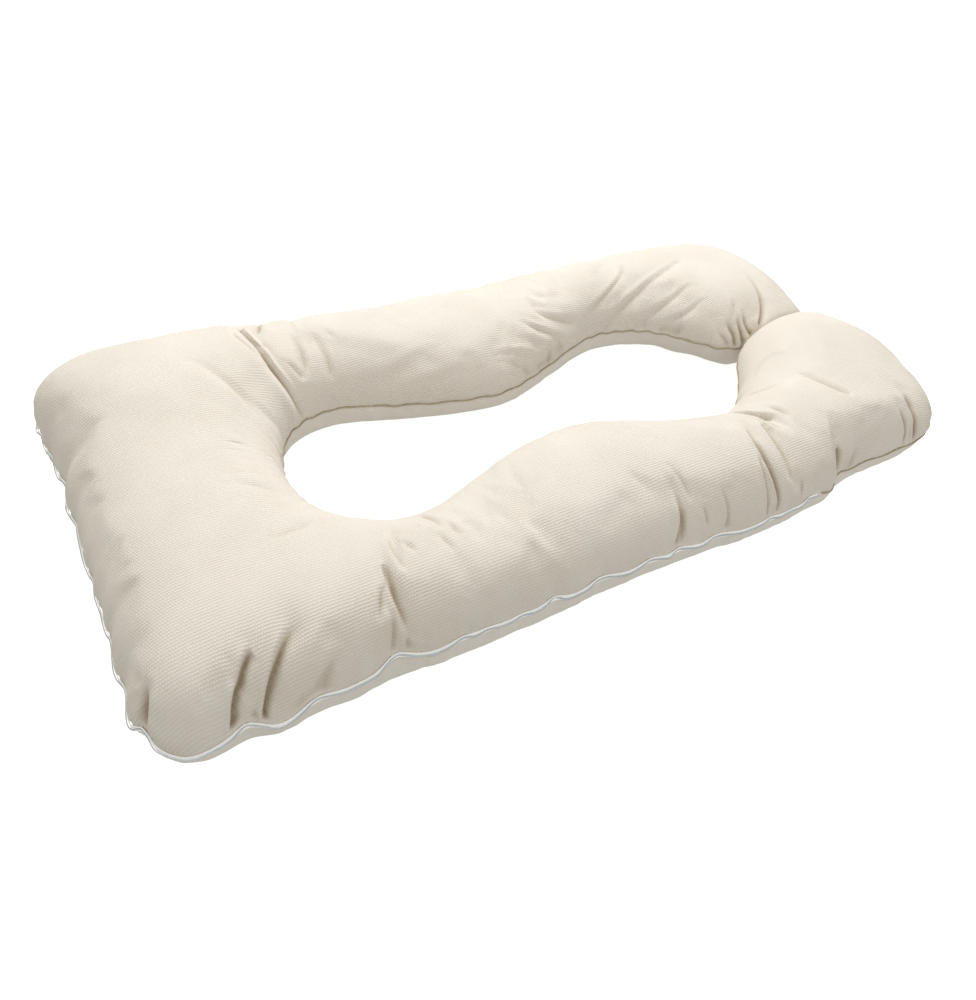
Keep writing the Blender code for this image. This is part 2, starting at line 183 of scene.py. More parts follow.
cushion = own_copy("pillow", "filled_cushion")
spots = places(cushion)
zip_route = smooth_route(ring_middles("zip_tape"), SEAM_STEP)
index, gap = nearest_in_plan(plan_tree(zip_route), spots)
level = np.where(gap < BY_ZIP, zip_route[index, 2], SEAM_HEIGHT)
on_seam = np.abs(spots[:, 2] - level) < SEAM_REACH
sewn = []
for edge in cushion.data.edges:
    ends = list(edge.vertices)
    drop = abs(spots[ends[0], 2] - spots[ends[1], 2])
    sewn.append(on_seam[ends].all() and drop < SEAM_SLOPE * np.linalg.norm(spots[ends[0]] - spots[ends[1]]))
sewn_edges = cushion.data.attributes.new("crease_edge", "FLOAT", "EDGE")
sewn_edges.data.foreach_set("value", np.array(sewn, float))


def seam_walk(piece, sewn, by_zip):
    """The plain part of the seam as points in order: from the zip's near end, round both tips, to its far end.

    It is the shortest way along the sewn edges from the far end. Near the other end the edges are broken, and the
    last few points are taken in order of nearness.
    """
    spots = places(piece)
    links = {}
    for edge, marked in zip(piece.data.edges, sewn):
        first, last = edge.vertices
        if marked and not (by_zip[first] and by_zip[last]):
            links.setdefault(first, []).append(last)
            links.setdefault(last, []).append(first)

    def nearest(vertices, point):
        return min(vertices, key=lambda vertex: np.linalg.norm(spots[vertex] - point))

    far_end = nearest(links, zip_route[0])
    came_from = {far_end: far_end}
    newest = [far_end]
    while newest:
        here = newest.pop(0)
        for ahead in links[here]:
            if ahead not in came_from:
                came_from[ahead] = here
                newest.append(ahead)
    path = [nearest(came_from, zip_route[-1])]
    left = {vertex for vertex in links if vertex not in came_from and not by_zip[vertex]}
    while left and np.linalg.norm(spots[nearest(left, spots[path[0]])] - spots[path[0]]) < BY_ZIP:
        path.insert(0, nearest(left, spots[path[0]]))
        left.remove(path[0])
    while path[-1] != far_end:
        path.append(came_from[path[-1]])
    return spots[path]


plain_route = smooth_route(seam_walk(cushion, sewn, gap < ON_ZIP), SEAM_STEP)
seam = np.concatenate((zip_route, plain_route))
seam_band = np.where(np.arange(len(seam)) < len(zip_route), ZIP_BAND, 0.0)
seam_run = np.concatenate(((0.0,), np.cumsum(np.linalg.norm(np.diff(seam, axis=0), axis=1))))
seam_tree = plan_tree(seam)
smoother(cushion, 1)

# The filling's pressure and how many frames it works for, how much longer than its shape the cloth is cut, and how
# far it may be pushed out, in and sideways
FILLING_PRESSURE = 4.0
FILLING_FRAMES = 20
CLOTH_SLACK = 0.035
CLOTH_SWELL = 0.004
CLOTH_SINK = 0.002
CLOTH_SLIDE = 0.003

# The cloth is held this near the seam. Its swell starts at the second distance and is whole after the third more.
# Below the last height it rests on the floor and is held too.
HELD = 0.002
SWELL_START = 0.004
SWELL_GROWTH = 0.035
FLOOR_LIFT = 0.0004


def from_seam(spots):
    """For each spot: its height above the seam, its plan distance from it, and how far along the seam it is.

    The height counts from the seam's upper edge, or below zero from its lower edge. The way along the seam goes
    from 0 to 1.
    """
    index, gap = nearest_in_plan(seam_tree, spots)
    rise = spots[:, 2] - seam[index, 2]
    height = np.sign(rise) * np.maximum(1e-6, np.abs(rise) - seam_band[index])
    return height, gap, seam_run[index] / seam_run[-1]


def stuffed(piece, home, outward, swell, pinned):
    """Blows the cloth up from inside while its pinned places stay, and keeps each point near its home."""
    group = piece.vertex_groups.new(name="pinned")
    for index in np.flatnonzero(pinned):
        group.add([int(index)], 1.0, "REPLACE")
    cloth = piece.modifiers.new("cloth", "CLOTH")
    cloth.settings.quality = 6
    cloth.settings.mass = 0.2
    cloth.settings.tension_stiffness = 20.0
    cloth.settings.compression_stiffness = 20.0
    cloth.settings.shear_stiffness = 6.0
    cloth.settings.bending_stiffness = 0.08
    cloth.settings.vertex_group_mass = "pinned"
    cloth.settings.use_pressure = True
    cloth.settings.uniform_pressure_force = FILLING_PRESSURE
    cloth.settings.shrink_min = -CLOTH_SLACK
    cloth.settings.effector_weights.gravity = 0.0
    cloth.point_cache.frame_start = 1
    cloth.point_cache.frame_end = FILLING_FRAMES
    for frame_number in range(1, FILLING_FRAMES + 1):
        scene.frame_set(frame_number)
    settle(piece)
    piece.vertex_groups.clear()
    moved = places(piece) - home
    lift = (moved * outward).sum(axis=1)[:, None]
    slide = moved - lift * outward
    slide *= np.minimum(1.0, CLOTH_SLIDE / np.maximum(np.linalg.norm(slide, axis=1)[:, None], 1e-9))
    put_back(piece, home + slide + outward * np.clip(lift, -CLOTH_SINK, swell[:, None]))
    scene.frame_set(1)


def normals(piece):
    """The vertex normals of a piece as one array."""
    out = np.zeros(len(piece.data.vertices) * 3)
    piece.data.vertex_normals.foreach_get("vector", out)
    return out.reshape(-1, 3)


spots = places(cushion)
resting = spots[:, 2] < FLOOR_LIFT
height, gap, _ = from_seam(spots)
off_seam = np.hypot(height, gap)
give = np.clip((off_seam - SWELL_START) / SWELL_GROWTH, 0.0, 1.0) * ~resting
outward = normals(cushion).copy()
put_back(cushion, spots - CLOTH_SWELL * give[:, None] * outward)
stuffed(cushion, spots, outward, CLOTH_SWELL * give, resting | (off_seam < HELD))
smoother(cushion, 2)

# The creases, one row each: how deep it sinks, its half-width, the lip of cloth that stands beside it, whether it
# starts at full depth (as one does that runs in from the seam), and its start, middle and end in plan. The plan
# positions are measured from the seam of the head roll along the pillow, and from its middle line across.
Crease = namedtuple("Crease", "depth width lip rooted start middle end")
CREASES = (
    Crease(0.0050, 0.0070, 0.0020, 0, (0.028, -0.315), (0.019, -0.328), (0.013, -0.333)),
    Crease(0.0070, 0.0045, 0.0030, 1, (0.103, -0.383), (0.139, -0.345), (0.153, -0.333)),
    Crease(0.0030, 0.0040, 0.0010, 1, (0.123, -0.380), (0.135, -0.378), (0.146, -0.376)),
    Crease(0.0065, 0.0048, 0.0036, 1, (0.144, -0.383), (0.179, -0.349), (0.211, -0.321)),
    Crease(0.0020, 0.0050, 0.0012, 0, (0.179, -0.384), (0.205, -0.380), (0.247, -0.365)),
    Crease(0.0016, 0.0045, 0.0012, 0, (0.208, -0.385), (0.225, -0.378), (0.243, -0.370)),
    Crease(0.0035, 0.0050, 0.0015, 1, (0.313, -0.378), (0.330, -0.359), (0.338, -0.340)),
    Crease(0.0030, 0.0045, 0.0015, 1, (0.319, -0.379), (0.341, -0.373), (0.343, -0.362)),
    Crease(0.0030, 0.0050, 0.0010, 0, (0.317, -0.347), (0.324, -0.334), (0.331, -0.321)),
    Crease(0.0045, 0.0045, 0.0025, 0, (0.347, -0.356), (0.345, -0.325), (0.348, -0.292)),
    Crease(0.0025, 0.0050, 0.0010, 0, (0.370, -0.301), (0.371, -0.277), (0.373, -0.254)),
    Crease(0.0020, 0.0045, 0.0008, 0, (0.389, -0.264), (0.393, -0.273), (0.396, -0.283)),
    Crease(0.0025, 0.0050, 0.0010, 1, (0.443, -0.213), (0.449, -0.240), (0.449, -0.262)),
    Crease(0.0020, 0.0050, 0.0008, 0, (0.439, -0.272), (0.443, -0.286), (0.446, -0.300)),
    Crease(0.0020, 0.0050, 0.0008, 0, (0.461, -0.251), (0.464, -0.266), (0.467, -0.281)),
    Crease(0.0040, 0.0055, 0.0020, 1, (0.798, -0.378), (0.812, -0.358), (0.814, -0.318)),
    Crease(0.0025, 0.0045, 0.0010, 1, (0.812, -0.372), (0.815, -0.362), (0.817, -0.352)),
    Crease(0.0025, 0.0050, 0.0010, 1, (0.856, -0.375), (0.854, -0.367), (0.852, -0.359)),
    Crease(0.0025, 0.0050, 0.0010, 1, (0.898, -0.381), (0.896, -0.366), (0.890, -0.347)),
    Crease(0.0020, 0.0060, 0.0008, 0, (0.835, -0.343), (0.831, -0.319), (0.827, -0.294)),
    Crease(0.0040, 0.0050, 0.0020, 1, (0.982, -0.387), (0.985, -0.345), (0.996, -0.326)),
    Crease(0.0050, 0.0050, 0.0025, 1, (1.003, -0.385), (1.001, -0.310), (1.015, -0.273)),
    Crease(0.0035, 0.0050, 0.0015, 0, (1.036, -0.367), (1.043, -0.292), (1.047, -0.277)),
    Crease(0.0025, 0.0045, 0.0010, 1, (1.053, -0.385), (1.054, -0.379), (1.054, -0.372)),
    Crease(0.0050, 0.0055, 0.0025, 1, (1.049, -0.206), (1.069, -0.247), (1.077, -0.267)),
    Crease(0.0030, 0.0045, 0.0010, 0, (1.059, -0.247), (1.064, -0.272), (1.068, -0.291)),
    Crease(0.0025, 0.0050, 0.0010, 0, (1.092, -0.235), (1.097, -0.254), (1.102, -0.272)),
    Crease(0.0030, 0.0060, 0.0015, 0, (1.233, -0.191), (1.250, -0.253), (1.253, -0.271)),
    Crease(0.0010, 0.0060, 0.0008, 0, (1.147, -0.137), (1.211, -0.102), (1.244, -0.104)),
    Crease(0.0020, 0.0050, 0.0010, 0, (1.136, -0.151), (1.151, -0.168), (1.185, -0.176)),
    Crease(0.0070, 0.0060, 0.0035, 1, (1.170, -0.368), (1.172, -0.349), (1.176, -0.340)),
    Crease(0.0030, 0.0060, 0.0012, 1, (1.210, -0.358), (1.213, -0.355), (1.233, -0.348)),
    Crease(0.0040, 0.0050, 0.0015, 1, (1.353, -0.353), (1.344, -0.336), (1.342, -0.324)),
    Crease(0.0030, 0.0050, 0.0010, 1, (1.367, -0.354), (1.366, -0.349), (1.365, -0.343)),
    Crease(0.0055, 0.0060, 0.0025, 1, (1.377, -0.354), (1.375, -0.322), (1.380, -0.300)),
    Crease(0.0015, 0.0080, 0.0005, 0, (0.233, -0.184), (0.263, -0.178), (0.293, -0.173)),
    Crease(0.0015, 0.0080, 0.0005, 0, (0.223, -0.060), (0.250, -0.069), (0.277, -0.077)),
    Crease(0.0014, 0.0070, 0.0010, 0, (0.248, 0.217), (0.300, 0.137), (0.338, 0.111)),
    Crease(0.0010, 0.0060, 0.0005, 0, (0.277, 0.169), (0.295, 0.135), (0.311, 0.105)),
    Crease(0.0062, 0.0045, 0.0048, 1, (0.352, 0.321), (0.370, 0.205), (0.410, 0.163)),
    Crease(0.0040, 0.0060, 0.0015, 1, (0.384, 0.327), (0.377, 0.307), (0.370, 0.287)),
    Crease(0.0025, 0.0060, 0.0012, 0, (0.329, 0.279), (0.334, 0.259), (0.350, 0.219)),
    Crease(0.0025, 0.0060, 0.0012, 0, (0.426, 0.266), (0.426, 0.221), (0.417, 0.196)),
    Crease(0.0020, 0.0055, 0.0008, 0, (0.395, 0.214), (0.404, 0.203), (0.413, 0.192)),
    Crease(0.0020, 0.0060, 0.0010, 0, (0.461, 0.259), (0.465, 0.206), (0.461, 0.192)),
    Crease(0.0015, 0.0060, 0.0005, 0, (0.485, 0.269), (0.488, 0.256), (0.492, 0.243)),
    Crease(0.0008, 0.0090, 0.0014, 0, (0.478, 0.168), (0.559, 0.154), (0.643, 0.162)),
    Crease(0.0007, 0.0080, 0.0012, 0, (0.600, 0.128), (0.655, 0.118), (0.711, 0.113)),
    Crease(0.0022, 0.0060, 0.0018, 0, (0.888, 0.205), (0.907, 0.182), (0.975, 0.177)),
    Crease(0.0022, 0.0050, 0.0016, 0, (0.847, 0.166), (0.877, 0.156), (0.945, 0.154)),
    Crease(0.0014, 0.0055, 0.0010, 0, (0.827, 0.141), (0.876, 0.136), (0.949, 0.156)),
    Crease(0.0020, 0.0050, 0.0018, 0, (0.767, 0.123), (0.842, 0.120), (0.899, 0.136)),
    Crease(0.0014, 0.0050, 0.0014, 0, (0.769, 0.113), (0.836, 0.111), (0.896, 0.133)),
    Crease(0.0014, 0.0100, 0.0005, 0, (0.906, 0.227), (0.932, 0.225), (0.959, 0.222)),
    Crease(0.0020, 0.0060, 0.0018, 0, (1.056, 0.184), (1.152, 0.202), (1.272, 0.237)),
    Crease(0.0018, 0.0055, 0.0015, 0, (1.122, 0.168), (1.180, 0.160), (1.247, 0.162)),
    Crease(0.0018, 0.0050, 0.0012, 0, (1.146, 0.157), (1.202, 0.126), (1.249, 0.119)),
    Crease(0.0025, 0.0050, 0.0010, 1, (1.173, 0.136), (1.194, 0.117), (1.215, 0.098)),
    Crease(0.0020, 0.0050, 0.0012, 0, (1.018, 0.191), (1.107, 0.230), (1.146, 0.263)),
    Crease(0.0030, 0.0045, 0.0020, 1, (1.277, 0.031), (1.262, 0.045), (1.250, 0.062)),
    Crease(0.0045, 0.0050, 0.0020, 1, (1.288, 0.030), (1.281, 0.045), (1.272, 0.062)),
    Crease(0.0050, 0.0050, 0.0020, 1, (1.305, 0.026), (1.298, 0.040), (1.303, 0.060)),
    Crease(0.0050, 0.0050, 0.0022, 1, (1.324, 0.028), (1.314, 0.040), (1.318, 0.066)),
    Crease(0.0020, 0.0050, 0.0010, 0, (1.291, 0.059), (1.299, 0.074), (1.303, 0.084)),
    Crease(0.0040, 0.0060, 0.0020, 1, (1.345, 0.034), (1.378, 0.078), (1.392, 0.157)),
)
HEAD_SEAM = -0.750

# The rows' depths and lips are multiplied by this, and each crease is drawn through this many points. A lip stands
# this many half-widths beside the bottom of its crease.
CREASE_PULL = 1.5
CREASE_POINTS = 13
LIP_OFFSET = 1.6


def crease_line(crease):
    """A smooth arc through a crease's start, middle and end."""
    start, middle, end = (np.array(point) + (HEAD_SEAM, 0.0) for point in (crease.start, crease.middle, crease.end))
    pull = 2 * middle - 0.5 * (start + end)
    t = np.linspace(0.0, 1.0, CREASE_POINTS)[:, None]
    return (1 - t) ** 2 * start + 2 * t * (1 - t) * pull + t**2 * end


def crease_relief(plan, crease):
    """How far one crease lifts the cloth at each plan position: down in its trough, up along its lip.

    A crease from the seam starts at full depth, and widens and fades along its way. A free one fades at both ends.
    """
    line = crease_line(crease)
    best = np.full(len(plan), 1e9)
    side, along = np.zeros(len(plan)), np.zeros(len(plan))
    for step, (start, end) in enumerate(zip(line[:-1], line[1:])):
        leg = end - start
        share = np.clip(((plan - start) @ leg) / (leg @ leg), 0.0, 1.0)
        off = plan - start - share[:, None] * leg
        away = np.hypot(*off.T)
        nearer = away < best
        best[nearer] = away[nearer]
        side[nearer] = np.sign(leg[0] * off[nearer, 1] - leg[1] * off[nearer, 0])
        along[nearer] = (step + share[nearer]) / (len(line) - 1)
    fade = 1 - along**3 if crease.rooted else np.sin(np.pi * np.clip(0.12 + 0.76 * along, 0.0, 1.0)) ** 0.7
    width = crease.width * (0.7 + 0.6 * along) if crease.rooted else crease.width
    trough = np.exp(-((best / width) ** 1.2))
    lip = np.exp(-(((side * best - LIP_OFFSET * width) / width) ** 2))
    return CREASE_PULL * fade * (crease.lip * lip - crease.depth * trough)


# Small gathers that run in from the seam all round: how high they stand, how many there are in the whole seam,
# and where along it they start. They are highest at this distance from the seam.
Gather = namedtuple("Gather", "height count phase")
GATHERS = (Gather(0.0011, 71, 4.0), Gather(0.0009, 149, 0.4), Gather(0.0007, 263, 2.2))
GATHER_REACH = 0.011


def gathers(off_seam, along):
    """How far the small gathers lift the cloth at a distance from the seam and a share along it.

    Their spacing wavers, and they come in patches, as a hand that feeds the cloth to the needle leaves them.
    """
    turn = 2 * np.pi * along
    waves = sum(
        gather.height * np.sin(gather.count * turn + gather.phase + 2.4 * np.sin(23 * turn + gather.phase))
        for gather in GATHERS
    )
    patches = 0.55 + 0.45 * np.sin(17 * turn + 1.7 * np.sin(5 * turn))
    return waves * patches * off_seam / GATHER_REACH * np.exp(1 - off_seam / GATHER_REACH)


# The creases lie in the upper panel: they start this far above the seam and reach their full depth over the next
# distance. They leave out cloth that faces further down than this, or is further off than this from their middles.
CREASE_START = 0.001
CREASE_GROWTH = 0.008
TURNED_DOWN = -0.35
CREASE_SPAN = 0.20

# The stitches draw the cloth in to a groove on both sides of the seam, but not the seam itself. The gathers die out
# below this height, where the cloth is pressed against the floor.
GROOVE_DEPTH = 0.0020
GROOVE_REACH = 0.003
SEAM_ITSELF = 0.0003
FOOT_HEIGHT = 0.02

# Painted shade: where the cloth closes over itself its colour is made browner, standing in for the shade in the
# folds.
# In folds this starts at the first depth and is whole after the second more, and the gathers count by their share.
# Under the seam it is a painted shadow line, this strong and this wide.
PAINTED_SHADE_START = 0.0010
PAINTED_SHADE_GROWTH = 0.0055
GATHER_SHARE = 0.5
SEAM_SHADOW_STRENGTH = 0.9
SEAM_SHADOW_REACH = 0.0022

# The finished mesh is thinned to this many triangles.
CUSHION_TRIANGLES = 196000

spots = places(cushion)
facing = normals(cushion)
height, gap, along_seam = from_seam(spots)
off_seam = np.hypot(height, gap)
upper = np.clip((height - CREASE_START) / CREASE_GROWTH, 0.0, 1.0) * (facing[:, 2] > TURNED_DOWN)
folds = np.zeros(len(spots))
for crease in CREASES:
    middle = np.array(crease.middle) + (HEAD_SEAM, 0.0)
    near = np.flatnonzero((np.hypot(*(spots[:, :2] - middle).T) < CREASE_SPAN) & (upper > 0))
    folds[near] += crease_relief(spots[near, :2], crease)
folds *= upper
by_floor = np.clip(1 - spots[:, 2] / FOOT_HEIGHT, 0.0, 1.0)
ripples = gathers(off_seam, along_seam) * (1 - by_floor)
groove = GROOVE_DEPTH * np.exp(-((off_seam / GROOVE_REACH) ** 2)) * (off_seam > SEAM_ITSELF)
put_back(cushion, spots + facing * (folds + ripples - groove)[:, None])
# Painted shade in the folds: a browner colour where the cloth sinks in.
fold_painted_shade = np.clip((-folds - GATHER_SHARE * ripples - PAINTED_SHADE_START) / PAINTED_SHADE_GROWTH, 0.0, 1.0)
# Painted shadow: a brown line just below the seam and the zip.
seam_painted_shadow = SEAM_SHADOW_STRENGTH * np.exp(-((off_seam / SEAM_SHADOW_REACH) ** 2)) * (height < 0)
painted_shade = cushion.data.attributes.new("painted_shade", "FLOAT", "POINT")
painted_shade.data.foreach_set("value", np.maximum(fold_painted_shade, seam_painted_shadow))
thinner = cushion.modifiers.new("fewer_triangles", "DECIMATE")
thinner.ratio = CUSHION_TRIANGLES / sum(len(face.vertices) - 2 for face in cushion.data.polygons)
settle(cushion)
spots = places(cushion)
spots[:, 2] = np.maximum(spots[:, 2], 0.0)
put_back(cushion, spots)

# The panels are cut flat with the embossed rows running along the pillow. Each point of the cloth gets its place on
# that flat cut: the nearest point of the middle line below, plus the way along the cloth from there. The middle
# line runs up one arm from its tip to the middle of the head roll, as distances along and across the pillow.
MiddlePoint = namedtuple("MiddlePoint", "along across")
MIDDLE_LINE = (
    MiddlePoint(1.385, 0.030), MiddlePoint(1.350, 0.120), MiddlePoint(1.280, 0.210), MiddlePoint(1.180, 0.260),
    MiddlePoint(1.040, 0.276), MiddlePoint(0.880, 0.254), MiddlePoint(0.750, 0.238), MiddlePoint(0.610, 0.252),
    MiddlePoint(0.460, 0.270), MiddlePoint(0.330, 0.262), MiddlePoint(0.240, 0.215), MiddlePoint(0.185, 0.130),
    MiddlePoint(0.165, 0.000),
)

# The panels' middles are this high above the floor. Within this distance of the middle line the cloth lies nearly
# level, and past it the drop counts with this weight in the way along the cloth.
CROWN = 0.162
LEVEL_MIDDLE = 0.06
DROP_WEIGHT = 1.6

# How much of the embossing is left on the lower panel, and over what height above the seam it becomes whole
EMBOSSED_BELOW = 0.3
EMBOSSING_GROWTH = 0.004


def flat_cut(spots, drop):
    """The place on the flat cut of each point, which lies at a drop from the level of the panel's middle."""
    near_arm = [(p.along + HEAD_SEAM, -p.across) for p in MIDDLE_LINE]
    line = np.array(near_arm + [(x, -y) for x, y in near_arm[-2::-1]])
    plan = spots[:, :2]
    best = np.full(len(plan), 1e9)
    middle = np.zeros_like(plan)
    for start, end in zip(line[:-1], line[1:]):
        leg = end - start
        share = np.clip(((plan - start) @ leg) / (leg @ leg), 0.0, 1.0)
        point = start + share[:, None] * leg
        away = np.hypot(*(plan - point).T)
        nearer = away < best
        best[nearer] = away[nearer]
        middle[nearer] = point[nearer]
    out = (plan - middle) / np.maximum(best, 1e-6)[:, None]
    way = np.sqrt(best**2 + DROP_WEIGHT * drop**2 * np.clip(best / LEVEL_MIDDLE, 0.0, 1.0))
    return middle + out * way[:, None]


# Each corner of a face takes its place from the panel that the face is part of, above or under the seam.
height, _, _ = from_seam(spots)
upper_cut = flat_cut(spots, np.maximum(CROWN - spots[:, 2], 0.0))
lower_cut = flat_cut(spots, spots[:, 2])
corner = np.zeros(len(cushion.data.loops), int)
cushion.data.loops.foreach_get("vertex_index", corner)
face_of = np.repeat(np.arange(len(cushion.data.polygons)), [len(face.vertices) for face in cushion.data.polygons])
face_height = np.bincount(face_of, height[corner]) / np.bincount(face_of)
on_upper = face_height[face_of] > 0
cut_map = cushion.data.uv_layers.new(name="cloth")
cut_map.data.foreach_set("uv", np.where(on_upper[:, None], upper_cut[corner], lower_cut[corner]).ravel())
embossed = cushion.data.attributes.new("embossed", "FLOAT", "POINT")
embossed.data.foreach_set("value", np.clip(EMBOSSED_BELOW + height / EMBOSSING_GROWTH, EMBOSSED_BELOW, 1.0))


def add(tree, kind, settings=None, **links):
    """A shader node with its settings, and its inputs linked or set."""
    node = tree.nodes.new(kind)
    for name, value in (settings or {}).items():
        setattr(node, name, value)
    for name, value in links.items():
        key = int(name[1:]) if name[0] == "i" and name[1:].isdigit() else name.replace("_", " ")
        if isinstance(value, bpy.types.NodeSocket):
            tree.links.new(value, node.inputs[key])
        else:
            node.inputs[key].default_value = value
    return node


def new_material(name):
    """A material with only its Principled surface in it."""
    material = bpy.data.materials.new(name)
    material.use_nodes = True
    return material, material.node_tree, material.node_tree.nodes["Principled BSDF"]


# Brushed polyester plush: short fibres that stand up and catch light at grazing angles, embossed by a hot roller
# with rows of grains 4.4 mm apart. It gives a soft, matt cream with fine lines. The pits and the folds are painted
# darker and browner: painted shade. The rows waver, and each is shifted by half a grain from the one before. Along a
# row the height swings by GRAIN_SWING to either side. The two shades say how far the painted shade goes in the pits
# and in the folds.
ROW_PITCH = 0.0044
GRAIN_PITCH = 0.0037
ROW_WAVER = 0.0035
GRAIN_SWING = 0.3
PIT_SHADE = 0.45
FOLD_SHADE = 0.8

plush, tree, surface = new_material("brushed_plush")
cloth_map = add(tree, "ShaderNodeUVMap", {"uv_map": "cloth"})
waver = add(tree, "ShaderNodeTexNoise", Vector=cloth_map.outputs[0], Scale=38.0, Detail=2.0)
parts = add(tree, "ShaderNodeSeparateXYZ", Vector=cloth_map.outputs[0])
across = add(
    tree, "ShaderNodeMath", {"operation": "MULTIPLY_ADD"},
    i0=waver.outputs["Fac"], i1=ROW_WAVER, i2=parts.outputs["Y"],
)
row = add(tree, "ShaderNodeMath", {"operation": "DIVIDE"}, i0=across.outputs[0], i1=ROW_PITCH)
row_number = add(tree, "ShaderNodeMath", {"operation": "FLOOR"}, i0=row.outputs[0])
grain = add(tree, "ShaderNodeMath", {"operation": "DIVIDE"}, i0=parts.outputs["X"], i1=GRAIN_PITCH)
staggered = add(
    tree, "ShaderNodeMath", {"operation": "MULTIPLY_ADD"}, i0=row_number.outputs[0], i1=0.5, i2=grain.outputs[0]
)
row_turn = add(tree, "ShaderNodeMath", {"operation": "MULTIPLY"}, i0=row.outputs[0], i1=2 * np.pi)
grain_turn = add(tree, "ShaderNodeMath", {"operation": "MULTIPLY"}, i0=staggered.outputs[0], i1=2 * np.pi)
row_wave = add(tree, "ShaderNodeMath", {"operation": "COSINE"}, i0=row_turn.outputs[0])
grain_wave = add(tree, "ShaderNodeMath", {"operation": "COSINE"}, i0=grain_turn.outputs[0])
row_height = add(tree, "ShaderNodeMath", {"operation": "MULTIPLY_ADD"}, i0=row_wave.outputs[0], i1=-0.5, i2=0.5)
grain_height = add(
    tree, "ShaderNodeMath", {"operation": "MULTIPLY_ADD"},
    i0=grain_wave.outputs[0], i1=GRAIN_SWING, i2=1 - GRAIN_SWING,
)
emboss = add(tree, "ShaderNodeMath", {"operation": "MULTIPLY"}, i0=row_height.outputs[0], i1=grain_height.outputs[0])
worn = add(tree, "ShaderNodeTexNoise", Vector=cloth_map.outputs[0], Scale=7.0, Detail=3.0)
wear = add(
    tree, "ShaderNodeMapRange", {"clamp": True}, Value=worn.outputs["Fac"], From_Min=0.3, From_Max=0.6, To_Min=0.55
)
kept = add(tree, "ShaderNodeAttribute", {"attribute_name": "embossed"})
worn_rows = add(tree, "ShaderNodeMath", {"operation": "MULTIPLY"}, i0=wear.outputs[0], i1=kept.outputs["Fac"])
pits = add(tree, "ShaderNodeMath", {"operation": "SUBTRACT"}, i0=1.0, i1=emboss.outputs[0])
pit_share = add(tree, "ShaderNodeMath", {"operation": "MULTIPLY"}, i0=pits.outputs[0], i1=worn_rows.outputs[0])
fibre = add(tree, "ShaderNodeTexNoise", Vector=cloth_map.outputs[0], Scale=620.0, Detail=3.0, Roughness=0.7)
nap = add(tree, "ShaderNodeTexNoise", Vector=cloth_map.outputs[0], Scale=24.0, Detail=4.0, Roughness=0.6)
pile_height = add(
    tree, "ShaderNodeMath", {"operation": "MULTIPLY_ADD"}, i0=pit_share.outputs[0], i1=-1.0, i2=fibre.outputs["Fac"]
)
bump = add(tree, "ShaderNodeBump", Strength=0.6, Distance=0.0010, Height=pile_height.outputs[0])
tree.links.new(bump.outputs[0], surface.inputs["Normal"])
# Painted shade: the embossed pits are given a darker colour.
pit_painted_shade = add(tree, "ShaderNodeMath", {"operation": "MULTIPLY"}, i0=pit_share.outputs[0], i1=PIT_SHADE)
with_pit_shade = add(
    tree, "ShaderNodeMix", {"data_type": "RGBA"}, i0=pit_painted_shade.outputs[0], i6=linear("f2eee7"), i7=linear("cbbfa8")
)
patchy = add(
    tree, "ShaderNodeMapRange", {"clamp": True}, Value=nap.outputs["Fac"], From_Min=0.3, From_Max=0.7, To_Max=0.3
)
napped = add(
    tree, "ShaderNodeMix", {"data_type": "RGBA"}, i0=patchy.outputs[0], i6=with_pit_shade.outputs[2], i7=linear("e6dccb")
)
# The painted shade of the folds and under the seam turns the colour towards brown 9f8c6a.
fold_shade_amount = add(tree, "ShaderNodeAttribute", {"attribute_name": "painted_shade"})
fold_share = add(tree, "ShaderNodeMath", {"operation": "MULTIPLY"}, i0=fold_shade_amount.outputs["Fac"], i1=FOLD_SHADE)
with_fold_shade = add(
    tree, "ShaderNodeMix", {"data_type": "RGBA"}, i0=fold_share.outputs[0], i6=napped.outputs[2], i7=linear("9f8c6a")
)
tree.links.new(with_fold_shade.outputs[2], surface.inputs["Base Color"])
surface.inputs["Roughness"].default_value = 0.92
surface.inputs["Specular IOR Level"].default_value = 0.2
surface.inputs["Sheen Weight"].default_value = 0.2
surface.inputs["Sheen Roughness"].default_value = 0.5
surface.inputs["Sheen Tint"].default_value = linear("f6f0e4")
cushion.data.materials.append(plush)
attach(cushion, "root")
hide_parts("pillow")

# Seam ridge
# Where no zip is set in, the turned edges of the two panels lie together and stand out of the seam as one thin,
# firm ridge of doubled plush, held by the lockstitch behind it.
RIDGE_RADIUS = 0.0011

outline = bpy.data.curves.new("seam_path", "CURVE")
outline.dimensions = "3D"
outline.bevel_depth = RIDGE_RADIUS
outline.bevel_resolution = 1
outline.use_fill_caps = True
ridge_line = plain_route[::2]
run = outline.splines.new("POLY")
run.points.add(len(ridge_line) - 1)
run.points.foreach_set("co", np.column_stack((ridge_line, np.ones(len(ridge_line)))).ravel())
path = bpy.data.objects.new("seam_path", outline)
scene.collection.objects.link(path)
mesh = bpy.data.meshes.new_from_object(path.evaluated_get(bpy.context.evaluated_depsgraph_get()))
bpy.data.objects.remove(path)
mesh.name = "seam_ridge"
mesh.shade_smooth()
ridge = bpy.data.objects.new("seam_ridge", mesh)
scene.collection.objects.link(ridge)

# Doubled plush pressed into a seam: the pile is flattened, so it looks plainer. Its browner colour is painted shade
# of the seam line.
doubled, tree, surface = new_material("seam_ridge_painted_shade")
place = add(tree, "ShaderNodeTexCoord")
strands = add(tree, "ShaderNodeTexNoise", Vector=place.outputs["Object"], Scale=700.0, Detail=2.0)
bump = add(tree, "ShaderNodeBump", Strength=0.5, Distance=0.0004, Height=strands.outputs["Fac"])
tree.links.new(bump.outputs[0], surface.inputs["Normal"])
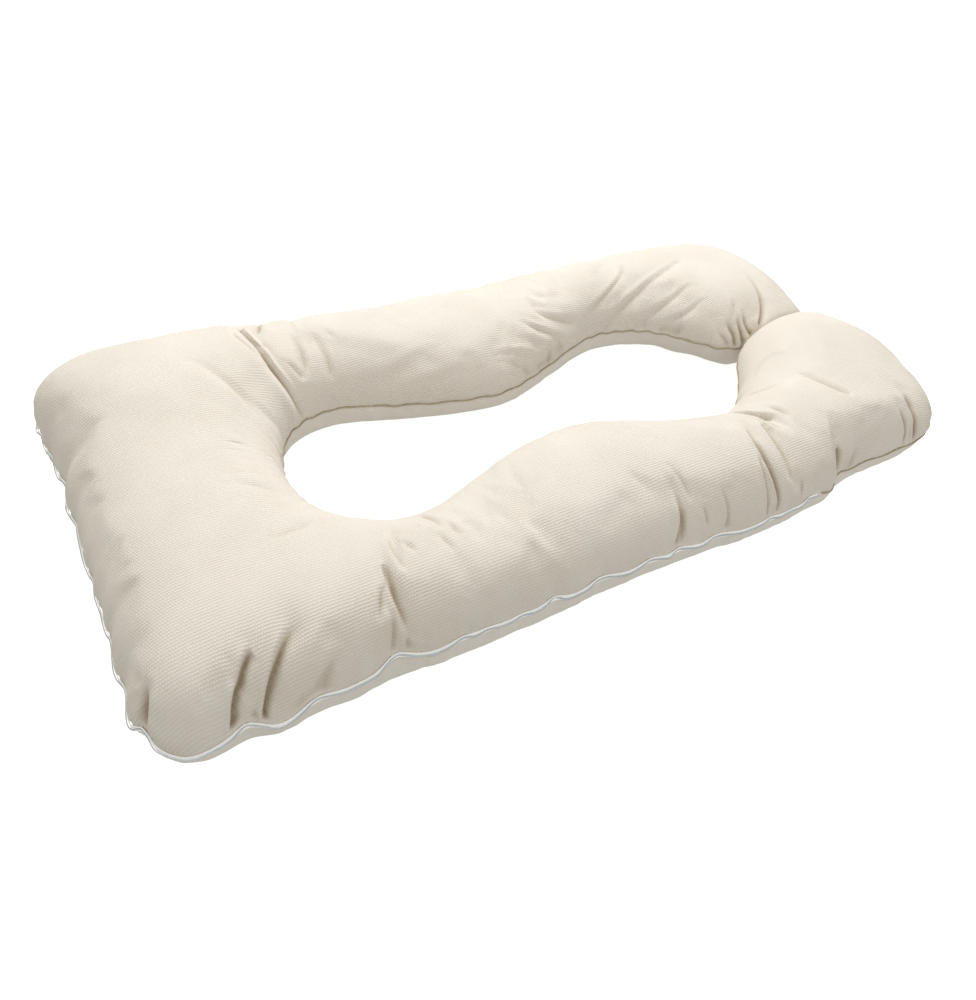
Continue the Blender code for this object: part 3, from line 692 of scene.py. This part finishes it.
# Painted shade: the ridge is coloured dark tan to draw the seam's shaded line.
tone = add(
    tree, "ShaderNodeMix", {"data_type": "RGBA"}, i0=strands.outputs["Fac"], i6=linear("a8977b"), i7=linear("cbbda4")
)
tree.links.new(tone.outputs[2], surface.inputs["Base Color"])
surface.inputs["Roughness"].default_value = 0.9
surface.inputs["Specular IOR Level"].default_value = 0.2
ridge.data.materials.append(doubled)
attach(ridge, "root")

# Zip tapes
# Two woven polyester tapes, white, sewn in between the panels along the outer seam so that they show as one band.

# A strip's edges that are longer than this in plan run along it.
EDGE_ALONG = 0.004


def keep_edges(piece):
    """Creases a strip's long edges, so that rounds of subdivision smooth its run and not its section."""
    spots = places(piece)
    mark = piece.data.attributes.new("crease_edge", "FLOAT", "EDGE")
    ends = np.array([list(edge.vertices) for edge in piece.data.edges])
    along = np.hypot(*(spots[ends[:, 0], :2] - spots[ends[:, 1], :2]).T) > EDGE_ALONG
    mark.data.foreach_set("value", along.astype(float))


tape = own_copy("zip_tape", "woven_zip_tape")
keep_edges(tape)
smoother(tape, 2)

# Polyester tape with an optical whitener. Its glow is painted light: the tape emits a little light of its own, which
# keeps it white in the cloth's shade.
TAPE_PAINTED_GLOW = 0.16
woven, tree, surface = new_material("woven_polyester_tape")
place = add(tree, "ShaderNodeTexCoord")
bands = {"wave_type": "BANDS", "bands_direction": "Z"}
weave = add(tree, "ShaderNodeTexWave", bands, Vector=place.outputs["Object"], Scale=170.0)
thread = add(tree, "ShaderNodeTexNoise", Vector=place.outputs["Object"], Scale=900.0)
mix = add(
    tree, "ShaderNodeMath", {"operation": "MULTIPLY_ADD"}, i0=thread.outputs["Fac"], i1=0.5, i2=weave.outputs["Fac"]
)
bump = add(tree, "ShaderNodeBump", Strength=0.5, Distance=0.0003, Height=mix.outputs[0])
tree.links.new(bump.outputs[0], surface.inputs["Normal"])
tone = add(
    tree, "ShaderNodeMix", {"data_type": "RGBA"}, i0=weave.outputs["Fac"], i6=linear("f4f5f2"), i7=linear("ffffff")
)
tree.links.new(tone.outputs[2], surface.inputs["Base Color"])
# Painted light: a faint glow that lifts the tape out of the shade.
surface.inputs["Emission Color"].default_value = linear("ffffff")
surface.inputs["Emission Strength"].default_value = TAPE_PAINTED_GLOW
surface.inputs["Roughness"].default_value = 0.75
tape.data.materials.append(woven)
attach(tape, "root")
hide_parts("zip_tape")

# Zip coil
# A closed nylon coil, moulded as a spiral and sewn to the tapes, so that it shows as a ridge of short turns.
TOOTH_PITCH = 0.0022
TOOTH_SIZE = (0.0015, 0.0015, 0.0044)
TOOTH_LEAN = 0.22
TOOTH_ROUNDING = 0.0005

turns = smooth_route(ring_middles("zip_coil"), TOOTH_PITCH)
heading = np.gradient(turns, axis=0)
shape = bmesh.new()
for point, ahead in zip(turns, heading):
    angle = np.arctan2(ahead[1], ahead[0])
    pose = Matrix.Translation(point) @ Matrix.Rotation(angle, 4, "Z") @ Matrix.Rotation(TOOTH_LEAN, 4, "Y")
    made = bmesh.ops.create_cube(shape, size=1.0, matrix=pose @ Matrix.Diagonal((*TOOTH_SIZE, 1.0)))
    edges = list({edge for vert in made["verts"] for edge in vert.link_edges})
    bmesh.ops.bevel(shape, geom=edges, offset=TOOTH_ROUNDING, segments=1, profile=0.5, affect="EDGES", material=-1)
mesh = bpy.data.meshes.new("nylon_zip_coil")
shape.to_mesh(mesh)
shape.free()
mesh.shade_smooth()
coil = bpy.data.objects.new("nylon_zip_coil", mesh)
scene.collection.objects.link(coil)
nylon, tree, surface = new_material("moulded_nylon")
# Painted shade: the coil is as white as the tape, but it is given a grey-blue colour to draw the shaded middle line
# of the zip band.
surface.inputs["Base Color"].default_value = linear("cfd6d8")
surface.inputs["Roughness"].default_value = 0.38
coil.data.materials.append(nylon)
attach(coil, "root")
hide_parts("zip_coil")

# Studio floor and light
# A white light table that glows from within, so that it stays white. Diffuse rays miss it, so that it throws no
# light back onto the cloth. It lies just under the pillow and reaches far past it. Three lamps and a pale sky light
# the cloth.

FLOOR_SIZE = 60.0
FLOOR_LEVEL = -0.0005
FLOOR_GLOW = 0.62
SKY_STRENGTH = 0.48

bpy.ops.mesh.primitive_plane_add(size=FLOOR_SIZE, location=(0.0, 0.0, FLOOR_LEVEL))
floor = bpy.context.object
floor.name = "floor"
paint, tree, surface = new_material("white_light_table")
surface.inputs["Base Color"].default_value = linear("ffffff")
surface.inputs["Roughness"].default_value = 1.0
surface.inputs["Emission Color"].default_value = linear("ffffff")
surface.inputs["Emission Strength"].default_value = FLOOR_GLOW
floor.visible_diffuse = False
floor.data.materials.append(paint)

for name, place, size, power in (
    ("back_softbox", (0.9, 2.0, 2.6), 1.6, 80.0),
    ("head_softbox", (-1.2, 0.6, 2.6), 1.4, 12.0),
    ("front_fill", (0.6, -2.6, 1.6), 2.4, 13.0),
):
    lamp = bpy.data.lights.new(name, "AREA")
    lamp.shape = "SQUARE"
    lamp.size = size
    lamp.energy = power
    light = bpy.data.objects.new(name, lamp)
    scene.collection.objects.link(light)
    light.matrix_world = Matrix.Translation(place) @ (-Vector(place)).to_track_quat("-Z", "Y").to_matrix().to_4x4()

world = bpy.data.worlds.new("studio")
world.use_nodes = True
sky = world.node_tree.nodes["Background"]
sky.inputs["Color"].default_value = linear("fffcf6")
sky.inputs["Strength"].default_value = SKY_STRENGTH
scene.world = world
